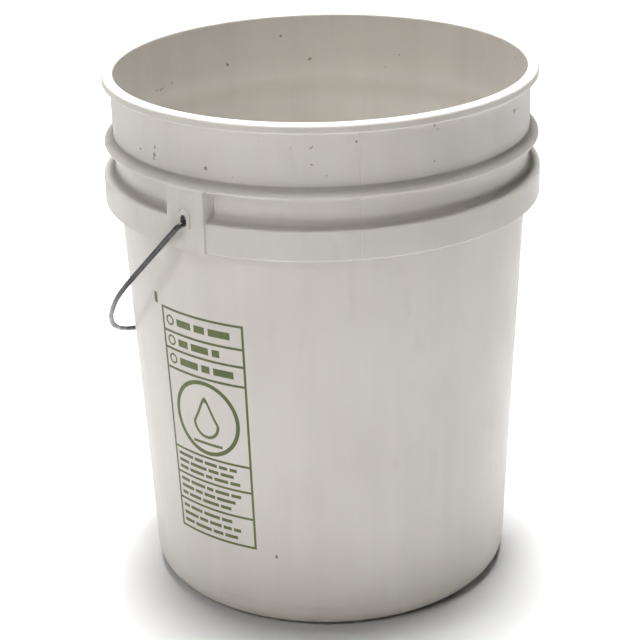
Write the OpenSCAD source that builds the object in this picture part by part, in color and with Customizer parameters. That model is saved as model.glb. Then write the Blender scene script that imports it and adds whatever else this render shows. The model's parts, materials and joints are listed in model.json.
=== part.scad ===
// Open-head fermenting bucket: one moulded pail with two bail ears, a steel wire bail and a grip.
// Millimetres. The origin is the centre of the base, +Z is up, the ears lie on X and the bail
// leans against the +Y side of the wall.

/* [Pail] */
// Overall height, base to rim
height = 375; // [370:1:380]
// Wall and floor thickness
wall = 2.3; // [2:0.1:2.4]
// Outer radius of the body at the skirt's lower edge
body_top_r = 143; // [142.8:0.1:143.2]
// Outer radius of the body where the base rounding starts
body_base_r = 130.2; // [129:0.1:132]
// Radius of the rounding between wall and base
base_round = 14; // [10:1:16]
// Height of the fine step in the wall above the base
step_height = 18.5; // [17:0.5:24]
// Depth of the fine step
step_depth = 0.4; // [0.2:0.1:0.6]
// Inner radius of the foot ring
foot_inner_r = 108; // [100:1:112]
// Height of the underside's recess
base_recess = 2.5; // [1.5:0.5:4]
// Number of stiffening ribs under the base
base_ribs = 12; // [6:1:16]

/* [Rim and neck] */
// Outer radius of the rim bead, where the lid is pressed on
rim_r = 151; // [150.5:0.1:151.5]
// Height of the rim bead
rim_height = 6.2; // [5:0.1:7]
// Outer radius of the neck under the bead
neck_r = 145.6; // [145.4:0.1:146]
// Outer radius of the neck at the upper ring
neck_foot_r = 145.2; // [145:0.1:145.4]

/* [Rings] */
// Outer radius of the upper ring
ring_r = 151.6; // [151:0.1:152]
// Drop from the rim to the top of the upper ring's slope
ring_top = 42.2; // [41:0.1:43]
// Drop from the rim to the upper ring's flat underside
ring_under = 49; // [48.8:0.1:50]
// Outer radius of the wall in the recess between the rings
recess_r = 144.5; // [144.2:0.1:144.8]
// Outer radius of the skirt
skirt_r = 153; // [152.6:0.1:153.2]
// Drop from the rim to the skirt's upper edge
skirt_top = 70.6; // [70:0.1:71]
// Drop from the rim to the skirt's lower edge
skirt_bottom = 90.2; // [88:0.1:92]
// Slope of the ledge above the skirt, in degrees
ledge_slope = 20; // [12:1:24]
// Radius of the blend from the recess wall to the ledge
ledge_round = 5; // [4:0.5:6]
// Number of ribs between the skirt and the wall
skirt_ribs = 24; // [12:4:24]
// Thickness of the moulded ribs
rib = 1.8; // [1.2:0.1:2.2]

/* [Ears] */
// Outer radius of the ear's face, which follows the pail's curve
ear_r = 154.3; // [154:0.1:154.6]
// Width of the ear's face
ear_width = 30; // [28:1:32]
// Draft of the ear's sides, in degrees
ear_draft = 8; // [5:1:12]
// Radius at which the ear's sloping top meets the upper ring's slope
ear_top_r = 149.6; // [149:0.1:150.4]
// How far the arch-shaped boss stands proud of the face
boss_proud = 1.3; // [1:0.1:1.5]
// Width of the boss
boss_width = 9; // [8.5:0.1:10]
// Height of the boss
boss_height = 12.7; // [12:0.1:14]
// Width of the upright slot that the wire passes through
slot_width = 4.5; // [4.4:0.1:4.8]
// How far the slot reaches above the wire's resting place
slot_lift = 3.8; // [2:0.1:4.5]

/* [Bail] */
// Diameter of the steel wire
wire_d = 3.5; // [3.4:0.1:3.6]
// Drop from the rim to the hinge axis
hinge_drop = 71.5; // [71:0.1:72]
// Distance from the axis to each leg's centreline at the hinge
leg_x = 160.2; // [160.1:0.1:161]
// Inward lean of the legs, in degrees
leg_lean = 5.6; // [5.4:0.1:5.7]
// Distance from the hinge axis to the grip's centreline
reach = 206.9; // [206.9:0.1:208]
// Half the length of the straight stretch that carries the grip
straight_half = 32; // [31.5:0.5:33]
// Radius of the bends at the ends of the straight stretch
grip_bend_r = 10; // [8:1:12]
// Radius of the elbow between each leg and its long curve
elbow_r = 93; // [88:1:95]
// Angle at which the elbow passes into the long curve, measured as the leg's lean is
elbow_end = 26.7; // [26:0.1:27.5]
// Angle at which the long curve passes into the bend at the straight stretch
sweep_end = 67; // [66:0.5:68]
// Radius of the tight bends at the ears
ear_bend_r = 3.7; // [3.5:0.1:4]
// Length of the hooks inside the ears
hook_length = 8.5; // [6:0.5:9]
// Clearance between a hook and the back of the ear's face
hook_gap = 1; // [0.5:0.1:1.5]
// Angle of the bail below the horizontal as it leans on the wall
rest_angle = 45; // [44.6:0.1:45]

/* [Grip] */
// Length of the grip
grip_length = 62; // [56:1:62]
// Radius of the grip's end beads
grip_end_r = 9; // [8.6:0.1:9]
// Radius of the grip's waist
grip_waist_r = 7.8; // [7.4:0.1:8]
// Radial running clearance between the grip and the wire
grip_clearance = 0.08; // [0.05:0.01:0.1]
// Depth of the hollow in each end of the grip
grip_hollow = 8; // [6:1:10]
// Wall of the grip round its hollow ends
grip_wall = 1.8; // [1.5:0.1:2]
// Number of finger ribs round the grip's middle
grip_ribs = 5; // [3:2:5]

/* [Hidden] */
$fn = 128;

plastic = [0.80, 0.78, 0.75];
steel = [0.30, 0.31, 0.31];
grip_plastic = [0.86, 0.85, 0.82];

wire_r = wire_d / 2;
skirt_low_z = height - skirt_bottom;
ledge_z = height - skirt_top;
ring_low_z = height - ring_under;
ring_high_z = height - ring_top;
hinge_z = height - hinge_drop;
floor_z = base_recess + wall;
// Rise of the body's radius per millimetre of height
taper = (body_top_r - body_base_r) / (skirt_low_z - base_round);
draft = atan(taper);
corner_r = body_base_r - base_round;
ledge_inner_r = recess_r + ledge_round * (1 - sin(ledge_slope));
ledge_round_z = ledge_z + (skirt_r - ledge_inner_r) * tan(ledge_slope) + ledge_round * cos(ledge_slope);
ledge_under_z = ledge_z - wall;
rim_low_z = height - rim_height;
// Roundings of the rim bead, outer and inner
bead_round = 2.4;
lip_round = 1.6;
bead_low_round = 0.8;
edge_round = 0.8;
ring_land = 0.9;
overlap = 1;
past = 20;
// Half the angle, about the axis, within which an ear lies
ear_span = 12;
// Fall of the upper ring's top for each millimetre outward
ring_slope = (ring_high_z - ring_low_z - ring_land) / (ring_r - neck_foot_r);

function body_r(z) = body_top_r - (skirt_low_z - z) * taper;

// Points along an arc, from one angle to another
function arc(x, z, r, from, to, steps = 6) =
    [for (i = [0 : steps]) let (a = from + (to - from) * i / steps) [x + r * cos(a), z + r * sin(a)]];

base_outline = concat(
    [[0, base_recess], [foot_inner_r - base_recess, base_recess], [foot_inner_r, 0]],
    arc(corner_r, base_round, base_round, -90, -draft, 10),
    [[body_r(step_height) - step_depth / 2, step_height],
     [body_r(step_height + step_depth) + step_depth / 2, step_height + step_depth]]
);

ring_outline = concat(
    arc(recess_r + ledge_round, ledge_round_z, ledge_round, 180 + 90 - ledge_slope, 180, 6),
    [[recess_r, ring_low_z], [ring_r - edge_round / 2, ring_low_z], [ring_r, ring_low_z + edge_round / 2],
     [ring_r, ring_low_z + ring_land], [neck_foot_r, ring_high_z]]
);

rim_outline = concat(
    [[neck_r, rim_low_z]],
    arc(rim_r - bead_low_round, rim_low_z + bead_low_round, bead_low_round, -90, 0, 3),
    arc(rim_r - bead_round, height - bead_round, bead_round, 0, 90, 6),
    arc(neck_r - wall + lip_round, height - lip_round, lip_round, 90, 180, 5)
);

// The pail's outside as a solid of revolution, with the skirt hanging clear of the wall
outside = concat(
    base_outline,
    [[body_r(ledge_under_z), ledge_under_z], [skirt_r - wall, ledge_under_z],
     [skirt_r - wall, skirt_low_z], [skirt_r, skirt_low_z]],
    arc(skirt_r - edge_round, ledge_z - edge_round, edge_round, 0, 90 - ledge_slope, 3),
    ring_outline,
    rim_outline,
    [[0, height - lip_round]]
);

// The pail's inside, a wall's thickness in from the outside
inside = concat(
    [[0, floor_z], [foot_inner_r - base_recess + overlap, floor_z], [foot_inner_r + overlap, wall]],
    arc(corner_r, base_round, base_round - wall, -90, -draft, 10),
    [[body_r(ledge_z) - wall, ledge_z], [recess_r - wall, ledge_round_z], [recess_r - wall, ring_low_z],
     [neck_foot_r - wall, ring_high_z], [neck_r - wall, height - lip_round],
     [neck_r - wall, height + past], [0, height + past]]
);

// The wall behind the ears, filled to the axis
core = [[0, skirt_low_z - past], [body_r(skirt_low_z - past), skirt_low_z - past],
        [body_r(ledge_z), ledge_z], [recess_r, ledge_round_z], [recess_r, ring_high_z], [0, ring_high_z]];

// Plan of an ear, inset by a margin, from a depth inside the wall to past its face
module ear_plan(inset) {
    root = recess_r - wall - overlap;
    half_face = ear_width / 2 - inset / cos(ear_draft);
    half_root = half_face + (ear_r - root) * tan(ear_draft);
    half_far = half_face - overlap * tan(ear_draft);
    polygon([[root, -half_root], [ear_r + overlap, -half_far], [ear_r + overlap, half_far], [root, half_root]]);
}

// Side view of an ear, inset by a margin: its top slopes from the upper ring down to the face
module ear_side(inset, bottom) {
    face = ear_r - inset;
    root = recess_r - wall - overlap;
    top_slope = (ring_high_z - (ear_top_r - neck_foot_r) * ring_slope - ring_low_z) / (ear_r - ear_top_r);
    face_top = ring_low_z - inset * (sqrt(1 + top_slope * top_slope) - top_slope);
    polygon([[root, bottom], [face, bottom], [face, face_top], [root, face_top + (face - root) * top_slope]]);
}

module ear_block(inset, bottom) {
    intersection() {
        translate([0, 0, bottom])
            linear_extrude(height - bottom)
                ear_plan(inset);
        rotate(-ear_span)
            rotate_extrude(angle = 2 * ear_span)
                ear_side(inset, bottom);
    }
}

// Arch with a flat foot, drawn on the ear's face and reaching through it
module boss() {
    top = height - hinge_drop + boss_height - slot_width / 2 - boss_width / 2 - 0.6;
    foot = hinge_z - slot_width / 2 - 0.6;
    translate([ear_r - overlap, 0, 0])
        rotate([90, 0, 90])
            linear_extrude(boss_proud + overlap) {
                translate([0, top])
                    circle(d = boss_width);
                translate([-boss_width / 2, foot])
                    square([boss_width, top - foot]);
            }
}

// Upright slot with round ends, cut right through the ear's face and boss
module slot() {
    length = 3 * wall + past;
    translate([ear_r - 2 * wall, 0, 0])
        rotate([90, 0, 90]) {
            translate([0, hinge_z + 0.1])
                cylinder(d = slot_width, h = length);
            translate([0, hinge_z + slot_lift])
                cylinder(d = slot_width, h = length);
            translate([-slot_width / 2, hinge_z + 0.1])
                cube([slot_width, slot_lift - 0.1, length]);
        }
}

// Hollow of an ear, open at the bottom and closed by the pail's wall
module pocket() {
    difference() {
        ear_block(wall, skirt_low_z - past);
        rotate_extrude()
            polygon(core);
    }
}

module skirt_rib() {
    low = skirt_low_z + 4;
    translate([body_r(low) - wall / 2, -rib / 2, low])
        cube([skirt_r - wall / 2 - body_r(low) + wall / 2, rib, ledge_under_z + wall / 2 - low]);
}

module base_rib() {
    translate([24, -rib / 2, base_recess / 3])
        cube([foot_inner_r - 24, rib, base_recess]);
}

module bucket() {
    color(plastic)
        difference() {
            union() {
                rotate_extrude()
                    polygon(outside);
                for (side = [0, 180])
                    rotate(side) {
                        ear_block(0, skirt_low_z);
                        boss();
                    }
                for (i = [0 : skirt_ribs - 1])
                    rotate((i + 0.5) * 360 / skirt_ribs)
                        skirt_rib();
                for (i = [0 : base_ribs - 1])
                    rotate(i * 360 / base_ribs)
                        base_rib();
            }
            rotate_extrude()
                polygon(inside);
            for (side = [0, 180])
                rotate(side) {
                    pocket();
                    slot();
                }
        }
}

// The bail lies in the plane of u, along the hinge, and s, outward from it.
// Its long curve's radius makes the leg, the elbow, the curve and the bend meet without a kink.
bend_top = [straight_half + grip_bend_r * cos(sweep_end), reach - grip_bend_r * (1 - sin(sweep_end))];
leg_foot = [leg_x - ear_bend_r * (1 - cos(leg_lean)), ear_bend_r * (1 + sin(leg_lean))];
lean = [-sin(leg_lean), cos(leg_lean)];
elbow_step = elbow_r * [cos(elbow_end) - cos(leg_lean), sin(elbow_end) - sin(leg_lean)];
sweep_step = [cos(elbow_end) - cos(sweep_end), sin(elbow_end) - sin(sweep_end)];
gap = bend_top - leg_foot - elbow_step;
sweep_r = -cross(gap, lean) / cross(sweep_step, lean);
elbow_top = bend_top + sweep_r * sweep_step;
leg_head = elbow_top - elbow_step;
leg_length = norm(leg_head - leg_foot);
hook_x = ear_r - wall - hook_gap - wire_r;
// How much the wire thins in a bend, which a bend that meets another one does twice over
thinning = 0.02;
// How far each stretch of wire reaches into the next
lap = 0.02;

// Stretch of wire bent round a centre, from one angle to another
module bend(centre, r, from, to, thinned = thinning) {
    lap_angle = lap / r * 180 / PI;
    translate([centre[0], centre[1], 0])
        rotate(from - lap_angle)
            rotate_extrude(angle = to - from + 2 * lap_angle)
                translate([r, 0])
                    circle(r = wire_r - thinned);
}

// Straight stretch of wire from a point, along a direction in degrees
module run(start, direction, length) {
    translate([start[0], start[1], 0])
        rotate(direction)
            rotate([0, 90, 0])
                translate([0, 0, -lap])
                    cylinder(r = wire_r, h = length + 2 * lap);
}

module bail_half() {
    run([hook_x, ear_bend_r], 90, hook_length - ear_bend_r);
    bend([hook_x + ear_bend_r, ear_bend_r], ear_bend_r, 180, 270);
    run([hook_x + ear_bend_r, 0], 0, leg_x - hook_x - 2 * ear_bend_r);
    bend([leg_x - ear_bend_r, ear_bend_r], ear_bend_r, -90, leg_lean);
    run(leg_foot, 90 + leg_lean, leg_length);
    bend(leg_head - elbow_r * [cos(leg_lean), sin(leg_lean)], elbow_r, leg_lean, elbow_end);
    bend(elbow_top - sweep_r * [cos(elbow_end), sin(elbow_end)], sweep_r, elbow_end, sweep_end, 2 * thinning);
    bend([straight_half, reach - grip_bend_r], grip_bend_r, sweep_end, 90);
    run([straight_half, reach], 180, straight_half);
}

// Turns the bail's flat plane to where it hangs, with s pointing down and towards +Y
module at_rest() {
    translate([0, 0, hinge_z])
        rotate([-rest_angle, 0, 0])
            children();
}

module bail_wire() {
    color(steel)
        at_rest() {
            bail_half();
            mirror([1, 0, 0])
                bail_half();
        }
}

// Half of the grip's section, from its middle to one end, as radius against length
grip_bore_r = wire_r + grip_clearance;
grip_half = grip_length / 2;
grip_bead = 4;
grip_rib_pitch = 8;
grip_edge = 0.8;
grip_hollow_r = grip_waist_r - grip_wall;
grip_section = concat(
    [[grip_bore_r, -grip_half + grip_hollow], [grip_hollow_r, -grip_half + grip_hollow],
     [grip_hollow_r, -grip_half], [grip_end_r - grip_edge, -grip_half], [grip_end_r, -grip_half + grip_edge],
     [grip_end_r, -grip_half + grip_bead], [grip_waist_r, -grip_half + 2 * grip_bead],
     [grip_waist_r, grip_half - 2 * grip_bead], [grip_end_r, grip_half - grip_bead],
     [grip_end_r, grip_half - grip_edge], [grip_end_r - grip_edge, grip_half], [grip_hollow_r, grip_half],
     [grip_hollow_r, grip_half - grip_hollow], [grip_bore_r, grip_half - grip_hollow]]
);

module grip() {
    color(grip_plastic)
        at_rest()
            translate([0, reach, 0])
                rotate([0, 90, 0]) {
                    rotate_extrude()
                        polygon(grip_section);
                    for (i = [0 : grip_ribs - 1])
                        translate([0, 0, (i - (grip_ribs - 1) / 2) * grip_rib_pitch])
                            rotate_extrude()
                                translate([grip_waist_r - 0.4, -1.2])
                                    polygon([[0, -0.8], [1.2, 0.2], [1.2, 2.2], [0, 3.2]]);
                }
}

bucket();
bail_wire();
grip();
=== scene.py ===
import json
import math

import bmesh
import bpy
import numpy as np
from mathutils import Matrix, Vector


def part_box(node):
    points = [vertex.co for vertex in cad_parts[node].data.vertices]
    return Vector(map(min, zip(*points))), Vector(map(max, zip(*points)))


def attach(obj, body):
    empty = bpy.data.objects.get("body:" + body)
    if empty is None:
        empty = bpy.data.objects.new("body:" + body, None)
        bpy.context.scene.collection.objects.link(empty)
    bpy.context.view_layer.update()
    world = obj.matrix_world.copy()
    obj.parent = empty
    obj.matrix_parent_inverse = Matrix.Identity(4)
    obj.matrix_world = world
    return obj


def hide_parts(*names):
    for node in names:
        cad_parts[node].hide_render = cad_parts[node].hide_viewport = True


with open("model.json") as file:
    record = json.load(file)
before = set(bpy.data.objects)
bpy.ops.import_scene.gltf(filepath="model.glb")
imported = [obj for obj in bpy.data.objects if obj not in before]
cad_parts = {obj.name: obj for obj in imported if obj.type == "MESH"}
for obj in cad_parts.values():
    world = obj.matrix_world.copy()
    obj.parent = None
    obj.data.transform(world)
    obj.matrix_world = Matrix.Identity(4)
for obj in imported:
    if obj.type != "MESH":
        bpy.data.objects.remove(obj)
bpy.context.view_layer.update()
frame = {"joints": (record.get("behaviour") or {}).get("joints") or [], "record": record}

# Lengths below are in millimetres, as the design's are, and MM turns them into metres.
MM = 0.001
RECORD = frame["record"]
JOINTS = {joint["name"]: joint for joint in frame["joints"]}
HINGE_Z = JOINTS["bail_swing"]["pos_m"][2] / MM
GRIP_AT = [value / MM for value in JOINTS["grip_roll"]["pos_m"]]
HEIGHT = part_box("bucket")[1][2] / MM
RIM_R = next(m for m in RECORD["mounts"] if m["name"] == "lid_rim")["dims"]["r_mm"]

# The pail
WALL = 2.3
BODY_TOP_R = 143.0
BODY_BASE_R = 130.2
BASE_ROUND = 14.0
STEP_Z = 18.5
FOOT_R = 108.0
BASE_RECESS = 2.5
NECK_R = 145.6
NECK_FOOT_R = 145.2
RECESS_R = 144.5
RING_R = 151.6
RING_LOW = HEIGHT - 49.0
RING_HIGH = HEIGHT - 42.2
SKIRT_R = 153.0
SKIRT_LOW = HEIGHT - 90.2
LEDGE = HEIGHT - 70.6
LEDGE_SLOPE = 20
LEDGE_FILLET = 5
BEAD_LOW = HEIGHT - 6.2
CAVITY_TOP = LEDGE - WALL
TAPER = (BODY_TOP_R - BODY_BASE_R) / (SKIRT_LOW - BASE_ROUND)
DRAFT = math.degrees(math.atan(TAPER))
RIDGE_PROUD = 0.28
RIDGE_WIDTH = 0.35

# The ears
EAR_R = 154.3
EAR_HALF = 15.0
EAR_DRAFT = math.radians(8)
EAR_TOP_R = 149.6
BOSS_PROUD = 1.25
BOSS_HALF = 4.5
BOSS_TOP_CENTRE = HINGE_Z + 5.3
BOSS_FOOT = HINGE_Z - 2.9
SLOT_R = 2.25
SLOT_RISE = 3.8

# The bail and its grip
WIRE_R = 1.75
LEG_X = 160.2
LEG_LEAN = math.radians(5.6)
EAR_BEND = 3.7
ELBOW_R = 93.0
ELBOW_END = math.radians(26.7)
SWEEP_END = math.radians(67)
GRIP_BEND = 10.0
STRAIGHT_HALF = 32.0
REACH = math.hypot(GRIP_AT[1], HINGE_Z - GRIP_AT[2])
REST_ANGLE = math.atan2(HINGE_Z - GRIP_AT[2], GRIP_AT[1])
HOOK_LENGTH = 8.5
HOOK_X = EAR_R - WALL - 1 - WIRE_R
GRIP_HALF = 31.0
GRIP_R = 9.0
GRIP_WAIST = 7.8
GRIP_WALL = 1.8
GRIP_HOLLOW = 8.0
RIB_ANGLES = [math.radians(a) for a in (-75, -50, -25, 0, 25, 50, 75)]

# The printed panel
PANEL_MIDDLE = 177.97
PANEL_R = 138.0
PANEL_HALF = 34.7
PANEL_TOP = HEIGHT - 144
PANEL_RULES = [HEIGHT - drop for drop in (160.8, 173.8, 188.6, 250, 270, 290.8)]
PANEL_FOOT = HEIGHT - 313.5
INK = 1.7


def body_r(z):
    """The outer radius of the tapered wall at a height."""
    return BODY_TOP_R - (SKIRT_LOW - z) * TAPER


def arc(x, z, r, start, end, steps):
    """Points along an arc in the plane of radius and height, angles in degrees."""
    angles = np.radians(np.linspace(start, end, steps + 1))
    return [(x + r * math.cos(a), z + r * math.sin(a)) for a in angles]


def line(start, end, steps):
    """Points from one point to another, without the last."""
    return [tuple(np.add(start, np.subtract(end, start) * i / steps)) for i in range(steps)]


def smooth(x):
    """0 below 0, 1 above 1, and an even S between."""
    x = np.clip(x, 0, 1)
    return x * x * (3 - 2 * x)


def soft_max(a, b, width):
    """The larger of two values, with the corner between them rounded over a width."""
    blend = np.clip(0.5 + 0.5 * (a - b) / width, 0, 1)
    return b + (a - b) * blend + width * blend * (1 - blend)


def soft_min(a, b, width):
    """The smaller of two values, with the corner between them rounded over a width."""
    return -soft_max(-a, -b, width)


# ---------------------------------------------------------------- meshes

def add_mesh(name, verts, faces, body, sharp_angle=35):
    """A mesh object from vertices in millimetres, riding on a body, smooth below an edge angle."""
    mesh = bpy.data.meshes.new(name)
    mesh.from_pydata([tuple(v) for v in np.asarray(verts) * MM], [], faces)
    mesh.validate()
    obj = bpy.data.objects.new(name, mesh)
    bpy.context.scene.collection.objects.link(obj)
    tidy_normals(mesh, sharp_angle)
    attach(obj, body)
    return obj


def tidy_normals(mesh, sharp_angle):
    """Turns all faces outward and keeps only the edges past an angle sharp."""
    bm = bmesh.new()
    bm.from_mesh(mesh)
    bmesh.ops.recalc_face_normals(bm, faces=bm.faces)
    for face in bm.faces:
        face.smooth = True
    limit = math.radians(sharp_angle)
    for edge in bm.edges:
        edge.smooth = len(edge.link_faces) == 2 and edge.calc_face_angle(0) < limit
    bm.to_mesh(mesh)
    bm.free()


def grid_faces(rows, columns):
    """Quads over a grid of rows by columns whose last column meets its first."""
    faces = []
    for i in range(rows - 1):
        for j in range(columns):
            k = (j + 1) % columns
            faces.append((i * columns + j, i * columns + k, (i + 1) * columns + k, (i + 1) * columns + j))
    return faces


# ---------------------------------------------------------------- pail

def pail_columns():
    """Angles round the pail in degrees, close together at the ears and the mould's split lines."""
    angles = list(np.arange(0, 360, 1.5))
    for ear in (0, 180):
        angles += list(ear + np.arange(-2.4, 2.41, 0.12))
        angles += list(ear + np.arange(-4.8, 4.81, 0.4))
        for side in (-1, 1):
            angles += list(ear + side * np.arange(5.0, 7.8, 0.12))
    for split in (45, 135, 225, 315):
        angles += [split + offset for offset in (-0.5, -0.3, -0.18, -0.08, 0, 0.08, 0.18, 0.3, 0.5)]
    angles = np.sort(np.unique(np.round(np.mod(angles, 360), 3)))
    gaps = np.diff(np.append(angles, angles[0] + 360))
    return angles[gaps > 0.03]


def underside_rows():
    """The recess, the foot ring and the rounding up to the wall."""
    centre = BODY_BASE_R - BASE_ROUND
    rows = line((0.5, BASE_RECESS), (FOOT_R - 4, BASE_RECESS), 5)
    rows += arc(FOOT_R - 3.4, BASE_RECESS - 1, 1, 90, 45, 3)
    rows += arc(FOOT_R + 0.3, 1, 1, 225, 270, 3)
    rows += line((FOOT_R + 3, 0), (centre, 0), 2)
    rows += arc(centre, BASE_ROUND, BASE_ROUND, -90, -DRAFT, 14)
    return rows


def wall_rows():
    """The wall from the base rounding up to the root of the skirt."""
    step = [(body_r(STEP_Z) - 0.2, STEP_Z - 0.6), (body_r(STEP_Z) - 0.2, STEP_Z)]
    step += [(body_r(STEP_Z) + 0.05, STEP_Z + 0.25), (body_r(STEP_Z) + 0.2, STEP_Z + 0.5)]
    step += [(body_r(STEP_Z) + 0.22, STEP_Z + 1)]
    low = STEP_Z + 8
    return step + line((body_r(low), low), (body_r(SKIRT_LOW - 4), SKIRT_LOW - 4), 24)


def cavity_rows():
    """The wall behind the skirt, the cavity's ceiling and the skirt's inside, down to its edge."""
    inner = SKIRT_R - WALL
    rows = line((body_r(SKIRT_LOW - 4), SKIRT_LOW - 4), (body_r(CAVITY_TOP - 1), CAVITY_TOP - 1), 6)
    rows += arc(body_r(CAVITY_TOP) + 1, CAVITY_TOP - 1, 1, 180, 90, 4)
    rows += line((147, CAVITY_TOP), (inner - 1.5, CAVITY_TOP), 2)
    rows += arc(inner - 1, CAVITY_TOP - 1, 1, 90, 0, 4)
    rows += line((inner, CAVITY_TOP - 2.5), (inner, SKIRT_LOW + 1), 5)
    return rows


def skirt_rows():
    """The skirt's edge and face, the ledge, and the wall of the recess up to the ring's underside."""
    edge = arc(SKIRT_R - WALL + 0.5, SKIRT_LOW + 0.5, 0.5, 180, 270, 3)
    edge += arc(SKIRT_R - 0.5, SKIRT_LOW + 0.5, 0.5, 270, 360, 3)
    slope = math.radians(LEDGE_SLOPE)
    blend_r = RECESS_R + LEDGE_FILLET * (1 - math.sin(slope))
    fillet_rise = LEDGE_FILLET * math.cos(slope)
    blend_z = LEDGE + (SKIRT_R - blend_r) * math.tan(slope) + fillet_rise
    face = line((SKIRT_R, SKIRT_LOW + 1.2), (SKIRT_R, LEDGE - 1), 28)
    face += arc(SKIRT_R - 0.9, LEDGE - 0.9, 0.9, 0, 90 - LEDGE_SLOPE, 5)
    face += line((SKIRT_R - 1.1, LEDGE + 0.2), (blend_r + 0.3, blend_z - fillet_rise - 0.1), 5)
    face += arc(RECESS_R + LEDGE_FILLET, blend_z, LEDGE_FILLET, 270 - LEDGE_SLOPE, 180, 9)
    face += line((RECESS_R, blend_z + 1), (RECESS_R, RING_LOW - 0.8), 18)
    face += arc(RECESS_R + 0.7, RING_LOW - 0.7, 0.7, 180, 90, 3)
    face += line((RECESS_R + 1.5, RING_LOW), (RING_R - 1, RING_LOW), 3)
    return edge, face


def ring_rows():
    """The upper ring, from its underside in to the foot of the neck."""
    rows = arc(RING_R - 0.45, RING_LOW + 0.45, 0.45, -90, 0, 3)
    rows += arc(RING_R - 0.8, RING_LOW + 1, 0.8, 5, 46, 4)
    rows += line((RING_R - 0.7, RING_LOW + 1.9), (NECK_FOOT_R + 1.1, RING_HIGH - 1.0), 7)
    rows += arc(NECK_FOOT_R + 1.2, RING_HIGH + 0.35, 1.2, 226, 180, 4)
    return rows


def rim_rows():
    """The neck, the bead and the lip, over to the inner wall."""
    rows = line((NECK_FOOT_R, RING_HIGH + 1.2), (NECK_R, BEAD_LOW - 0.8), 8)
    rows += arc(NECK_R + 0.7, BEAD_LOW - 0.7, 0.7, 180, 90, 3)
    rows += line((NECK_R + 1.4, BEAD_LOW), (RIM_R - 1.3, BEAD_LOW), 2)
    rows += arc(RIM_R - 0.8, BEAD_LOW + 0.8, 0.8, -90, 0, 4)
    rows += line((RIM_R, BEAD_LOW + 1.5), (RIM_R, HEIGHT - 2.6), 2)
    rows += arc(RIM_R - 2.4, HEIGHT - 2.4, 2.4, 0, 90, 9)
    rows += line((RIM_R - 3, HEIGHT), (NECK_R - WALL + 1.7, HEIGHT), 3)
    rows += arc(NECK_R - WALL + 1.6, HEIGHT - 1.6, 1.6, 90, 180, 7)
    return rows


def inside_rows():
    """The inner wall down from the rim, and the floor in to its middle."""
    centre = BODY_BASE_R - BASE_ROUND
    rows = line((NECK_R - WALL, HEIGHT - 3), (NECK_FOOT_R - WALL, RING_HIGH + 1), 6)
    rows += line((NECK_FOOT_R - WALL - 0.05, RING_HIGH - 0.5), (RECESS_R - WALL, RING_LOW - 1), 3)
    rows += line((RECESS_R - WALL, RING_LOW - 3), (RECESS_R - WALL, LEDGE + 7.6), 3)
    rows += line((RECESS_R - WALL - 0.1, LEDGE + 6), (body_r(LEDGE) - WALL, LEDGE), 3)
    rows += line((body_r(LEDGE - 4) - WALL, LEDGE - 4), (body_r(BASE_ROUND + 4) - WALL, BASE_ROUND + 4), 20)
    rows += arc(centre, BASE_ROUND, BASE_ROUND - WALL, -DRAFT, -90, 12)
    rows += arc(FOOT_R + 2, WALL + 1, 1, 270, 225, 3)
    rows += arc(FOOT_R - 2.3, WALL + BASE_RECESS - 1, 1, 45, 90, 3)
    rows += line((FOOT_R - 5, WALL + BASE_RECESS), (0.5, WALL + BASE_RECESS), 5)
    rows.append((0.5, WALL + BASE_RECESS))
    return rows


def ear_side_r(phi):
    """The radius of an ear's drafted side at an angle from the ear's middle, in radians."""
    slope = math.tan(EAR_DRAFT)
    return (EAR_HALF + EAR_R * slope) / (np.sin(phi) + slope * np.cos(phi))


def boss_height(y, z):
    """How far the arch-shaped boss stands out of the ear's face at a point of it."""
    above = np.hypot(y, np.maximum(z - BOSS_TOP_CENTRE, 0))
    inside = np.minimum(BOSS_HALF - above, z - BOSS_FOOT)
    return BOSS_PROUD * smooth(inside / 0.9 + 0.5)


def pail_surface():
    """Rows by columns of points: the profile all round, drawn out to the ears' faces at the ears."""
    angles = pail_columns()
    edge, face = skirt_rows()
    parts = {"under": underside_rows() + wall_rows(), "cavity": cavity_rows(), "edge": edge,
             "face": face, "ring": ring_rows(), "rim": rim_rows(), "inside": inside_rows()}
    profile = np.array([point for rows in parts.values() for point in rows])
    kind = np.array([name for name, rows in parts.items() for _ in rows])
    r = np.repeat(profile[:, :1], len(angles), 1)
    z = np.repeat(profile[:, 1:], len(angles), 1)
    turn = np.radians(angles)
    off = np.abs(np.radians((angles + 90) % 180 - 90))
    shape_ears(r, z, kind, off)
    ridge_rows = (z[:, 0] > SKIRT_LOW + 1) & (z[:, 0] < BEAD_LOW) & np.isin(kind, ["face", "ring", "rim"])
    split = np.radians(angles % 90 - 45)
    r += RIDGE_PROUD * np.exp(-(split * RING_R / RIDGE_WIDTH) ** 2) * ridge_rows[:, None]
    return np.dstack([r * np.cos(turn), r * np.sin(turn), z])


def shape_ears(r, z, kind, off):
    """Moves the rows of the skirt, the rings and the cavity out to an ear, where they cross it."""
    degrees = np.degrees(off)
    outer = soft_min(EAR_R, ear_side_r(off), 0.8)
    shape_ear_face(r, z, kind, off, outer)
    shape_ear_top(r, z, kind, degrees, outer)
    shape_ear_pocket(r, z, kind, degrees)


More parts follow.
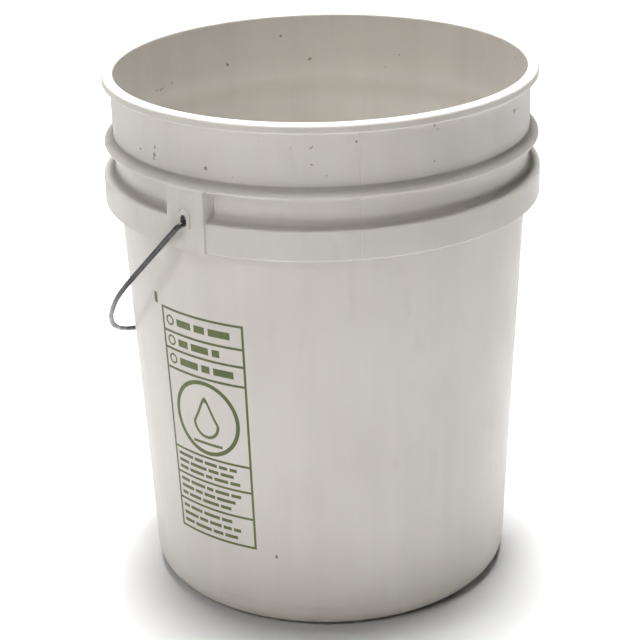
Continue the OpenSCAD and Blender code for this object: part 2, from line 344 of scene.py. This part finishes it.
def shape_ear_face(r, z, kind, off, outer):
    """The face's rows are spread from the skirt's edge to the upper ring, most of them over the boss."""
    face = np.where(kind == "face")[0]
    edge = [row for row in np.where(kind == "edge")[0] if r[row, 0] > SKIRT_R - 1.3]
    places = [SKIRT_LOW + 1.2, BOSS_FOOT - 2, BOSS_TOP_CENTRE + 6.5, RING_LOW - 0.5]
    spread = np.interp(np.linspace(0, 1, len(face)), [0, 0.14, 0.82, 1], places)
    near = smooth((5.85 - np.degrees(off)) / 0.5)
    z[face] += (spread[:, None] - z[face]) * near
    for rows in (face, edge):
        r[rows] = soft_max(r[rows], outer, 0.3)
    r[face] += boss_height(EAR_R * np.sin(off), z[face]) * (np.degrees(off) < 4)


def shape_ear_top(r, z, kind, degrees, outer):
    """The upper ring's outer rows are drawn out to the ear's face, below the line where they meet."""
    ring = np.where(kind == "ring")[0]
    drawn = ring[r[ring, 0] > EAR_TOP_R]
    meet = z[drawn[-1], 0]
    s = np.linspace(0, 1, len(drawn))
    top_r = np.interp(s, [0, 0.15, 0.3, 1], [EAR_R, EAR_R - 0.1, EAR_R - 0.5, EAR_TOP_R])
    top_z = np.interp(s, [0, 0.15, 0.3, 1], [RING_LOW - 0.1, RING_LOW + 0.2, RING_LOW + 0.45, meet])
    near = smooth((6.5 - degrees) / 0.9)
    target = soft_min(top_r[:, None], outer, 0.5)
    r[drawn] += (np.maximum(target, r[drawn]) - r[drawn]) * near
    z[drawn] += (top_z[:, None] - z[drawn]) * near


def shape_ear_pocket(r, z, kind, degrees):
    """The skirt's cavity is deeper and higher inside an ear."""
    cavity = np.where(kind == "cavity")[0]
    near = smooth((5.2 - degrees) / 0.7)
    rise = np.clip((z[cavity] - SKIRT_LOW) / (CAVITY_TOP - SKIRT_LOW), 0, 1)
    out = np.clip((r[cavity] - RECESS_R) / (SKIRT_R - WALL - RECESS_R), 0, 1)
    z[cavity] += rise * (RING_LOW - WALL - 1 - CAVITY_TOP) * near
    r[cavity] += out * (EAR_R - SKIRT_R) * near
    behind = (out <= 0) & (z[cavity] > LEDGE)
    r[cavity] += behind * (RECESS_R - r[cavity]) * near


def slot_cutter(side):
    """An upright slot with round ends, through one ear's face."""
    outline = arc(0, HINGE_Z + 0.1, SLOT_R, 180, 360, 16) + arc(0, HINGE_Z + SLOT_RISE, SLOT_R, 0, 180, 16)
    near, far = EAR_R - 2 * WALL, EAR_R + 6
    verts = [(side * x, y, z) for x in (near, far) for y, z in outline]
    count = len(outline)
    faces = [(i, (i + 1) % count, count + (i + 1) % count, count + i) for i in range(count)]
    faces += [tuple(range(count)), tuple(range(count, 2 * count))]
    mesh = bpy.data.meshes.new("slot_cutter")
    mesh.from_pydata([tuple(v) for v in np.array(verts) * MM], [], faces)
    tidy_normals(mesh, 30)
    obj = bpy.data.objects.new("slot_cutter", mesh)
    bpy.context.scene.collection.objects.link(obj)
    return obj


def cut(obj, cutters):
    """Cuts closed shapes out of an object and deletes them."""
    for cutter in cutters:
        tool = obj.modifiers.new("cut", "BOOLEAN")
        tool.operation = "DIFFERENCE"
        tool.solver = "EXACT"
        tool.object = cutter
    depsgraph = bpy.context.evaluated_depsgraph_get()
    mesh = bpy.data.meshes.new_from_object(obj.evaluated_get(depsgraph))
    obj.modifiers.clear()
    obj.data = mesh
    for cutter in cutters:
        bpy.data.objects.remove(cutter)


def build_pail():
    """The whole moulding as one closed mesh, with a slot through each ear."""
    points = pail_surface()
    rows, columns = points.shape[:2]
    verts = list(points.reshape(-1, 3))
    faces = grid_faces(rows, columns)
    verts += [(0, 0, BASE_RECESS), (0, 0, WALL + BASE_RECESS)]
    last = (rows - 1) * columns
    under, floor = rows * columns, rows * columns + 1
    for j in range(columns):
        k = (j + 1) % columns
        faces.append((k, j, under))
        faces.append((last + j, last + k, floor))
    pail = add_mesh("pail_shell", verts, faces, "pail")
    cut(pail, [slot_cutter(1), slot_cutter(-1)])
    tidy_normals(pail.data, 40)
    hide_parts("bucket")
    return pail


def rib_verts(outline, half, turn):
    """An upright plate: an outline (radius, height) given a thickness and turned about the axis."""
    verts = [(r, side * half, z) for side in (-1, 1) for r, z in outline]
    c, s = math.cos(turn), math.sin(turn)
    return [(x * c - y * s, x * s + y * c, z) for x, y, z in verts]


def build_ribs(name, outline, count, first):
    """Plates set evenly round the axis, as one bevelled mesh."""
    verts, faces = [], []
    size = len(outline)
    for i in range(count):
        base = len(verts)
        verts += rib_verts(outline, 0.9, math.radians(first + i * 360 / count))
        faces.append(tuple(base + k for k in range(size)))
        faces.append(tuple(base + size + k for k in range(size)))
        faces += [(base + k, base + (k + 1) % size, base + size + (k + 1) % size, base + size + k)
                  for k in range(size)]
    ribs = add_mesh(name, verts, faces, "pail")
    bevel = ribs.modifiers.new("bevel", "BEVEL")
    bevel.width = 0.3 * MM
    bevel.segments = 2
    return ribs


def skirt_rib_outline():
    """A rib between the wall and the skirt, under the cavity's ceiling."""
    low = SKIRT_LOW + 4
    inner, outer = body_r(low) - 1, SKIRT_R - WALL + 0.8
    return [(inner, low), (outer, low), (outer, CAVITY_TOP + 0.8), (inner, CAVITY_TOP + 0.8)]


def base_rib_outline():
    """A rib in the recess under the floor, from near the middle out to the foot ring."""
    low, high = BASE_RECESS / 3, BASE_RECESS + 1
    inner, outer = 24, FOOT_R - 2
    return [(inner, low), (outer, low), (outer, high), (inner, high)]


# ---------------------------------------------------------------- printed panel

def wrapped(x, z, lift):
    """A point of the panel on the pail's wall, x mm to the right of the panel's middle."""
    turn = math.radians(PANEL_MIDDLE) + x / PANEL_R
    r = body_r(z) + lift
    return (r * math.cos(turn), r * math.sin(turn), z)


def patch(outer, inner):
    """A closed film of ink between two outlines with the same number of points."""
    count = len(outer)
    verts = [wrapped(x, z, lift) for lift in (0.1, -0.1) for ring in (outer, inner) for x, z in ring]
    faces = []
    for k in range(count):
        n = (k + 1) % count
        for a, b in ((0, 1), (3, 2), (2, 0), (1, 3)):
            faces.append((a * count + k, a * count + n, b * count + n, b * count + k))
    return verts, faces


def bar(x0, x1, z0, z1):
    """A filled bar, in columns short enough to follow the wall."""
    steps = max(2, int((x1 - x0) / 2) + 1)
    xs = np.linspace(x0, x1, steps)
    verts = [wrapped(x, z, lift) for lift in (0.1, -0.1) for z in (z0, z1) for x in xs]
    faces = []
    for k in range(steps - 1):
        for a, b in ((0, 1), (3, 2), (2, 0), (1, 3)):
            faces.append((a * steps + k, a * steps + k + 1, b * steps + k + 1, b * steps + k))
    for k in (0, steps - 1):
        faces.append((k, steps + k, 3 * steps + k, 2 * steps + k))
    return verts, faces


def ring_patch(x, z, r, width):
    """A round ring of ink."""
    turns = np.linspace(0, 2 * math.pi, 72, endpoint=False)
    outer = [(x + r * math.cos(a), z + r * math.sin(a)) for a in turns]
    inner = [(x + (r - width) * math.cos(a), z + (r - width) * math.sin(a)) for a in turns]
    return patch(outer, inner)


def drop_patch(x, z, r, width):
    """A drop's outline: a circle below, drawn up to a point."""
    def edge(size):
        turns = np.linspace(-0.5 * math.pi, 1.5 * math.pi, 48, endpoint=False)
        return [(x + size * math.cos(a) * (1 - 0.45 * max(math.sin(a), 0)),
                 z + size * (math.sin(a) + 0.75 * max(math.sin(a), 0) ** 3)) for a in turns]
    return patch(edge(r), edge(r - width))


def dashes(z, height, lengths, start):
    """A row of bars of given lengths that stands in for a line of print."""
    bars, x = [], start
    for length in lengths:
        bars.append(bar(x, x + length, z - height / 2, z + height / 2))
        x += length + 0.45 * height + 0.8
    return bars


def panel_frame():
    """The panel's border and the rules across it."""
    half = PANEL_HALF
    rules = [bar(-half, half, z - INK / 2, z + INK / 2) for z in [PANEL_TOP, *PANEL_RULES, PANEL_FOOT]]
    for x in (-half, half):
        stops = [PANEL_FOOT - INK / 2 + i * (PANEL_TOP - PANEL_FOOT + INK) / 24 for i in range(25)]
        rules += [bar(x - INK / 2, x + INK / 2, low, high) for low, high in zip(stops, stops[1:])]
    return rules


def panel_rows():
    """Three heading rows, each a round bullet and a line of bars, and the fine lines at the foot."""
    bounds = [PANEL_TOP, *PANEL_RULES, PANEL_FOOT]
    headings = ((13, 9, 17), (9, 15, 6), (17, 7, 16))
    rows = []
    for i, lengths in enumerate(headings):
        z = (bounds[i] + bounds[i + 1]) / 2
        rows.append(ring_patch(-PANEL_HALF + 7.5, z, 3.9, 1.3))
        rows += dashes(z, 5.2, lengths, -PANEL_HALF + 14.5)
    fine = ((9, 14, 6, 12, 8), (13, 7, 10, 16), (6, 12, 15, 9), (15, 8, 11, 7, 6), (10, 16, 9, 11))
    for i in range(4, 7):
        top, low = bounds[i], bounds[i + 1]
        for k in range(3):
            z = top - (k + 0.9) * (top - low) / 3.8
            rows += dashes(z, 2.5, fine[(2 * i + k) % 5], -PANEL_HALF + 3.5)
    return rows


def build_panel():
    """A generic panel of blank bars round a plain drop, with no lettering."""
    middle = (PANEL_RULES[2] + PANEL_RULES[3]) / 2
    pieces = panel_frame() + panel_rows()
    pieces += [ring_patch(0, middle, 28.4, 3), drop_patch(0, middle - 4, 11.5, 2.2)]
    pieces += [bar(-13, 13, middle - 20.5, middle - 18.5)]
    # Two small marks stand outside the border
    pieces += [bar(-43.6, -40.2, HEIGHT - 143.5, HEIGHT - 136), bar(50, 51.4, HEIGHT - 319, HEIGHT - 316.5)]
    verts, faces = [], []
    for more, sides in pieces:
        faces += [tuple(index + len(verts) for index in side) for side in sides]
        verts += more
    return add_mesh("printed_panel", verts, faces, "pail", 60)


# ---------------------------------------------------------------- bail and grip

def along(angle):
    """A step of length 1 in a direction."""
    return np.array([math.cos(angle), math.sin(angle)])


def bail_half_path():
    """One half of the wire's centreline, hook to middle, as points (u, s) in the bail's own plane."""
    bend_top = np.array([STRAIGHT_HALF, REACH - GRIP_BEND]) + GRIP_BEND * along(SWEEP_END)
    leg_foot = np.array([LEG_X - EAR_BEND, EAR_BEND]) + EAR_BEND * along(LEG_LEAN)
    elbow = ELBOW_R * (along(ELBOW_END) - along(LEG_LEAN))
    step = along(ELBOW_END) - along(SWEEP_END)
    lean = np.array([-math.sin(LEG_LEAN), math.cos(LEG_LEAN)])
    gap = bend_top - leg_foot - elbow
    sweep_r = -(gap[0] * lean[1] - gap[1] * lean[0]) / (step[0] * lean[1] - step[1] * lean[0])
    elbow_top = bend_top + sweep_r * step
    leg_head = elbow_top - elbow
    path = line((HOOK_X, HOOK_LENGTH), (HOOK_X, EAR_BEND), 4)
    path += arc(HOOK_X + EAR_BEND, EAR_BEND, EAR_BEND, 180, 270, 10)
    path += arc(LEG_X - EAR_BEND, EAR_BEND, EAR_BEND, -90, math.degrees(LEG_LEAN), 12)[:-1]
    path += line(leg_foot, leg_head, 12)
    path += bend(leg_head, ELBOW_R, LEG_LEAN, ELBOW_END, 12)
    path += bend(elbow_top, sweep_r, ELBOW_END, SWEEP_END, 36)
    path += bend(bend_top, GRIP_BEND, SWEEP_END, math.pi / 2, 14)
    return path + line((STRAIGHT_HALF, REACH), (0, REACH), 6)


def bend(start, r, turned, end, steps):
    """Points of an arc that leaves a point, without its last."""
    centre = np.subtract(start, r * along(turned))
    return arc(centre[0], centre[1], r, math.degrees(turned), math.degrees(end), steps)[:-1]


def bail_point(u, s, n):
    """A point of the bail at rest: u along the hinge, s outward from it, n out of the bail's plane."""
    down, out = math.sin(REST_ANGLE), math.cos(REST_ANGLE)
    return (u, s * out + n * down, HINGE_Z - s * down + n * out)


def build_bail():
    """The bent wire, swept along its centreline from hook to hook."""
    half = bail_half_path()
    path = np.array(half + [(0, REACH)] + [(-u, s) for u, s in reversed(half)])
    tangent = np.gradient(path, axis=0)
    tangent /= np.linalg.norm(tangent, axis=1)[:, None]
    # Each end is rounded over by two narrower rings
    rings = [(path[0], 0.6), (path[0] + tangent[0] * 0.35, 0.92), (path[0] + tangent[0] * 0.8, 1)]
    rings += [(point, 1) for point in path[1:-1]]
    rings += [(path[-1] - tangent[-1] * back, size) for back, size in ((0.8, 1), (0.35, 0.92), (0, 0.6))]
    tangents = [tangent[0]] * 3 + list(tangent[1:-1]) + [tangent[-1]] * 3
    sides = 24
    turn = np.linspace(0, 2 * math.pi, sides, endpoint=False)
    verts = []
    for (point, size), ahead in zip(rings, tangents):
        across = np.array([-ahead[1], ahead[0]])
        for a in turn:
            u, s = point + across * WIRE_R * size * math.cos(a)
            verts.append(bail_point(u, s, WIRE_R * size * math.sin(a)))
    faces = grid_faces(len(rings), sides)
    faces.append(tuple(range(sides)))
    faces.append(tuple(range((len(rings) - 1) * sides, len(rings) * sides)))
    bail = add_mesh("bail_wire_bent", verts, faces, "bail", 50)
    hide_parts("bail_wire")
    return bail


def grip_profile():
    """The grip's section from one end's hollow, along the outside, to the other's, as (radius, length)."""
    bore = WIRE_R + 0.08
    inner = GRIP_WAIST - GRIP_WALL
    ribs = []
    for i in range(-2, 3):
        middle = i * 8.0
        ribs += [(GRIP_WAIST, middle - 2.2)]
        ribs += [(GRIP_WAIST + 0.8 * math.cos(a) ** 2, middle + 1.8 * math.sin(a)) for a in RIB_ANGLES]
        ribs += [(GRIP_WAIST, middle + 2.2)]
    end = -GRIP_HALF
    low = [(bore, end + GRIP_HOLLOW), (inner - 0.4, end + GRIP_HOLLOW), (inner, end + GRIP_HOLLOW - 0.4)]
    low += [(inner, end + 0.5)]
    low += arc(inner + 0.4, end + 0.4, 0.4, 180, 270, 3)
    low += arc(GRIP_R - 1, end + 1, 1, 270, 360, 5)
    low += [(GRIP_R, end + 3.6), (GRIP_R - 0.15, end + 4.4), (GRIP_R - 0.6, end + 5.8)]
    low += [(GRIP_WAIST + 0.15, end + 7.4), (GRIP_WAIST, end + 8.4)]
    return low + ribs + [(r, -x) for r, x in reversed(low)]


def build_grip():
    """The grip's section, spun about its own axis."""
    profile = grip_profile()
    sides = 96
    verts = []
    for r, x in profile:
        for j in range(sides):
            a = 2 * math.pi * j / sides
            verts.append((x, GRIP_AT[1] + r * math.cos(a), GRIP_AT[2] + r * math.sin(a)))
    faces = grid_faces(len(profile), sides)
    last = (len(profile) - 1) * sides
    faces += [(last + j, last + (j + 1) % sides, (j + 1) % sides, j) for j in range(sides)]
    grip = add_mesh("grip_tube", verts, faces, "grip", 40)
    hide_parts("grip")
    return grip


# ---------------------------------------------------------------- materials

def new_material(name):
    """An empty node material, its tree and its main shader."""
    material = bpy.data.materials.new(name)
    material.use_nodes = True
    tree = material.node_tree
    shader = tree.nodes["Principled BSDF"]
    return material, tree, shader


def node(tree, kind, **values):
    """A shader node with its settings, and its inputs by name."""
    made = tree.nodes.new(kind)
    for key, value in values.items():
        if hasattr(made, key):
            setattr(made, key, value)
        else:
            made.inputs[key.replace("_", " ")].default_value = value
    return made


def position(tree):
    """The place on the object itself, which moves with it."""
    return node(tree, "ShaderNodeTexCoord").outputs["Object"]


def noise(tree, vector, scale, detail=3.0, stretch=None):
    """Even noise at a scale, stretched along an axis if asked."""
    if stretch:
        mapping = node(tree, "ShaderNodeMapping")
        mapping.inputs["Scale"].default_value = stretch
        tree.links.new(vector, mapping.inputs["Vector"])
        vector = mapping.outputs["Vector"]
    made = node(tree, "ShaderNodeTexNoise", Scale=scale, Detail=detail)
    tree.links.new(vector, made.inputs["Vector"])
    return made.outputs["Fac"]


def ramp(tree, value, stops):
    """A value turned into greys or colours through stops of (place, colour)."""
    made = node(tree, "ShaderNodeValToRGB")
    elements = made.color_ramp.elements
    while len(elements) < len(stops):
        elements.new(0.5)
    for element, (place, colour) in zip(elements, stops):
        element.position = place
        element.color = (*colour, 1.0) if isinstance(colour, tuple) else (colour, colour, colour, 1.0)
    tree.links.new(value, made.inputs["Fac"])
    return made.outputs["Color"]


def mix(tree, factor, first, second, blend="MIX"):
    """Two colours mixed, where each input is a socket, a colour or a number."""
    made = node(tree, "ShaderNodeMix", data_type="RGBA", blend_type=blend)
    sockets = [s for s in made.inputs if s.enabled]
    for socket, value in zip(sockets, (factor, first, second)):
        if isinstance(value, bpy.types.NodeSocket):
            tree.links.new(value, socket)
        elif isinstance(value, tuple):
            socket.default_value = (*value, 1.0)
        else:
            socket.default_value = value
    return next(s for s in made.outputs if s.enabled)


def bump(tree, shader, height, strength, distance):
    """Fine relief in a shader's normal."""
    made = node(tree, "ShaderNodeBump", Strength=strength, Distance=distance)
    tree.links.new(height, made.inputs["Height"])
    tree.links.new(made.outputs["Normal"], shader.inputs["Normal"])


def pail_material():
    """Off-white polyethylene, streaked down the wall, with specks on the neck."""
    material, tree, shader = new_material("pail_polyethylene")
    place = position(tree)
    shades = [(0.35, (0.615, 0.590, 0.548)), (0.65, (0.655, 0.632, 0.592))]
    cloud = ramp(tree, noise(tree, place, 9, 2), shades)
    streak = ramp(tree, noise(tree, place, 60, 4, (1, 1, 0.08)), [(0.35, 0.965), (0.65, 1.0)])
    colour = mix(tree, 1.0, cloud, streak, "MULTIPLY")
    height = node(tree, "ShaderNodeSeparateXYZ")
    tree.links.new(place, height.inputs["Vector"])
    band = ((41, 0.0), (38, 1.0), (9, 1.0), (6, 0.0))
    stops = [((HEIGHT - drop) * MM, shade) for drop, shade in band]
    neck = ramp(tree, height.outputs["Z"], stops)
    specks = ramp(tree, noise(tree, place, 130, 2), [(0.715, 0.0), (0.74, 0.8)])
    scuffs = ramp(tree, noise(tree, place, 70, 5, (1, 1, 0.35)), [(0.62, 0.0), (0.76, 0.14)])
    colour = mix(tree, mix(tree, 1.0, neck, specks, "MULTIPLY"), colour, (0.16, 0.12, 0.08))
    colour = mix(tree, scuffs, colour, (0.42, 0.40, 0.36))
    tree.links.new(colour, shader.inputs["Base Color"])
    rough = ramp(tree, noise(tree, place, 45, 4), [(0.3, 0.36), (0.7, 0.46)])
    tree.links.new(rough, shader.inputs["Roughness"])
    bump(tree, shader, noise(tree, place, 900, 2), 0.08, 0.0002)
    shader.inputs["Specular IOR Level"].default_value = 0.45
    shader.inputs["Subsurface Weight"].default_value = 0.12
    shader.inputs["Subsurface Radius"].default_value = (0.006, 0.005, 0.004)
    shader.inputs["Subsurface Scale"].default_value = 1.0
    return material


def steel_material():
    """Dull grey wire."""
    material, tree, shader = new_material("bail_steel_wire")
    place = position(tree)
    shades = [(0.3, (0.045, 0.047, 0.047)), (0.7, (0.085, 0.088, 0.088))]
    colour = ramp(tree, noise(tree, place, 160, 4), shades)
    tree.links.new(colour, shader.inputs["Base Color"])
    rough = ramp(tree, noise(tree, place, 90, 3), [(0.3, 0.26), (0.7, 0.42)])
    tree.links.new(rough, shader.inputs["Roughness"])
    bump(tree, shader, noise(tree, place, 700, 3), 0.15, 0.0002)
    shader.inputs["Metallic"].default_value = 0.85
    return material


def ink_material():
    """Olive ink, worn through in places."""
    material, tree, shader = new_material("panel_ink_olive")
    place = position(tree)
    shades = [(0.35, (0.075, 0.098, 0.018)), (0.65, (0.100, 0.128, 0.026))]
    fresh = ramp(tree, noise(tree, place, 35, 3), shades)
    worn = ramp(tree, noise(tree, place, 420, 3), [(0.68, 0.0), (0.76, 0.5)])
    colour = mix(tree, worn, fresh, (0.40, 0.41, 0.30))
    tree.links.new(colour, shader.inputs["Base Color"])
    rough = ramp(tree, noise(tree, place, 200, 3), [(0.3, 0.42), (0.7, 0.58)])
    tree.links.new(rough, shader.inputs["Roughness"])
    return material


def grip_material():
    """Plain pale plastic."""
    material, tree, shader = new_material("grip_polyethylene")
    place = position(tree)
    shades = [(0.35, (0.66, 0.645, 0.61)), (0.65, (0.70, 0.69, 0.655))]
    colour = ramp(tree, noise(tree, place, 40, 3), shades)
    tree.links.new(colour, shader.inputs["Base Color"])
    rough = ramp(tree, noise(tree, place, 120, 3), [(0.3, 0.38), (0.7, 0.5)])
    tree.links.new(rough, shader.inputs["Roughness"])
    bump(tree, shader, noise(tree, place, 900, 2), 0.1, 0.0002)
    return material


def floor_material():
    """Matt near-white."""
    material, tree, shader = new_material("studio_floor")
    place = position(tree)
    colour = ramp(tree, noise(tree, place, 2, 2), [(0.4, 0.86), (0.6, 0.88)])
    tree.links.new(colour, shader.inputs["Base Color"])
    shader.inputs["Roughness"].default_value = 0.9
    return material


def paint(obj, material):
    """Gives an object one material."""
    obj.data.materials.clear()
    obj.data.materials.append(material)


# ---------------------------------------------------------------- studio

CAMERA_AZIMUTH = -54.13
CAMERA_ELEVATION = 22.31
CAMERA_ROLL = -1.40
CAMERA_DISTANCE = 1.4402
CAMERA_LENS = 111.05
AIM_ASIDE = -0.00426
AIM_DROP = 0.1928


def camera_axes():
    """The camera's right, up and backward directions."""
    a, e, roll = (math.radians(v) for v in (CAMERA_AZIMUTH, CAMERA_ELEVATION, CAMERA_ROLL))
    right = Vector((math.cos(a), math.sin(a), 0))
    toward = Vector((math.sin(a), -math.cos(a), 0))
    back = toward * math.cos(e) + Vector((0, 0, math.sin(e)))
    up = back.cross(right)
    turned_right = right * math.cos(roll) + up * math.sin(roll)
    turned_up = up * math.cos(roll) - right * math.sin(roll)
    return right, turned_right, turned_up, back


def add_camera():
    """The photograph's camera."""
    level, right, up, back = camera_axes()
    aim = level * AIM_ASIDE + Vector((0, 0, HEIGHT * MM - AIM_DROP))
    matrix = Matrix((right, up, back)).transposed().to_4x4()
    matrix.translation = aim + back * CAMERA_DISTANCE
    data = bpy.data.cameras.new("camera")
    data.lens = CAMERA_LENS
    data.sensor_width = 36
    data.clip_end = 30
    camera = bpy.data.objects.new("camera", data)
    camera.matrix_world = matrix
    bpy.context.scene.collection.objects.link(camera)
    bpy.context.scene.camera = camera


def add_area_light(name, place, target, size, power, colour=(1, 1, 1)):
    """A round soft light at a place, turned to a target."""
    data = bpy.data.lights.new(name, "AREA")
    data.shape = "DISK"
    data.size = size
    data.energy = power
    data.color = colour
    light = bpy.data.objects.new(name, data)
    light.location = place
    light.rotation_euler = (Vector(target) - Vector(place)).to_track_quat("-Z", "Y").to_euler()
    bpy.context.scene.collection.objects.link(light)


def add_studio():
    """Three soft lights placed from the camera's side of the pail, and the surround."""
    level, _, _, back = camera_axes()
    front = Vector((back.x, back.y, 0)).normalized()
    rise = Vector((0, 0, 1))
    target = rise * 0.2
    add_area_light("key", level * -1.0 + front * 1.6 + rise * 1.9, target, 0.9, 13, (1.0, 0.985, 0.96))
    add_area_light("top", front * -0.25 + rise * 2.4, target, 1.2, 125)
    add_area_light("back_fill", level * -0.4 - front * 2.0 + rise * 1.2, target, 1.6, 8)
    bpy.context.scene.world = studio_world(level)
    bpy.context.scene.view_settings.view_transform = "Standard"


def studio_world(level):
    """A soft white surround that falls off to the camera's right."""
    world = bpy.data.worlds.new("studio")
    world.use_nodes = True
    tree = world.node_tree
    place = node(tree, "ShaderNodeTexCoord").outputs["Generated"]
    aside = node(tree, "ShaderNodeVectorMath", operation="DOT_PRODUCT")
    tree.links.new(place, aside.inputs[0])
    aside.inputs[1].default_value = level
    spread = node(tree, "ShaderNodeMapRange")
    tree.links.new(aside.outputs["Value"], spread.inputs["Value"])
    for name, value in (("From Min", -0.6), ("From Max", 0.8), ("To Min", 0.5), ("To Max", 0.04)):
        spread.inputs[name].default_value = value
    tree.links.new(spread.outputs["Result"], tree.nodes["Background"].inputs["Strength"])
    return world


def add_floor():
    """The surface that the pail stands on, which is not part of it."""
    half = 12.0
    mesh = bpy.data.meshes.new("studio_floor")
    corners = [(-half, -half, 0), (half, -half, 0), (half, half, 0), (-half, half, 0)]
    mesh.from_pydata(corners, [], [(0, 1, 2, 3)])
    floor = bpy.data.objects.new("studio_floor", mesh)
    bpy.context.scene.collection.objects.link(floor)
    paint(floor, floor_material())


# ---------------------------------------------------------------- the scene

add_camera()
add_studio()
add_floor()
plastic = pail_material()
paint(build_pail(), plastic)
paint(build_ribs("skirt_ribs", skirt_rib_outline(), 24, 7.5), plastic)
paint(build_ribs("base_ribs", base_rib_outline(), 12, 0), plastic)
paint(build_panel(), ink_material())
paint(build_bail(), steel_material())
paint(build_grip(), grip_material())
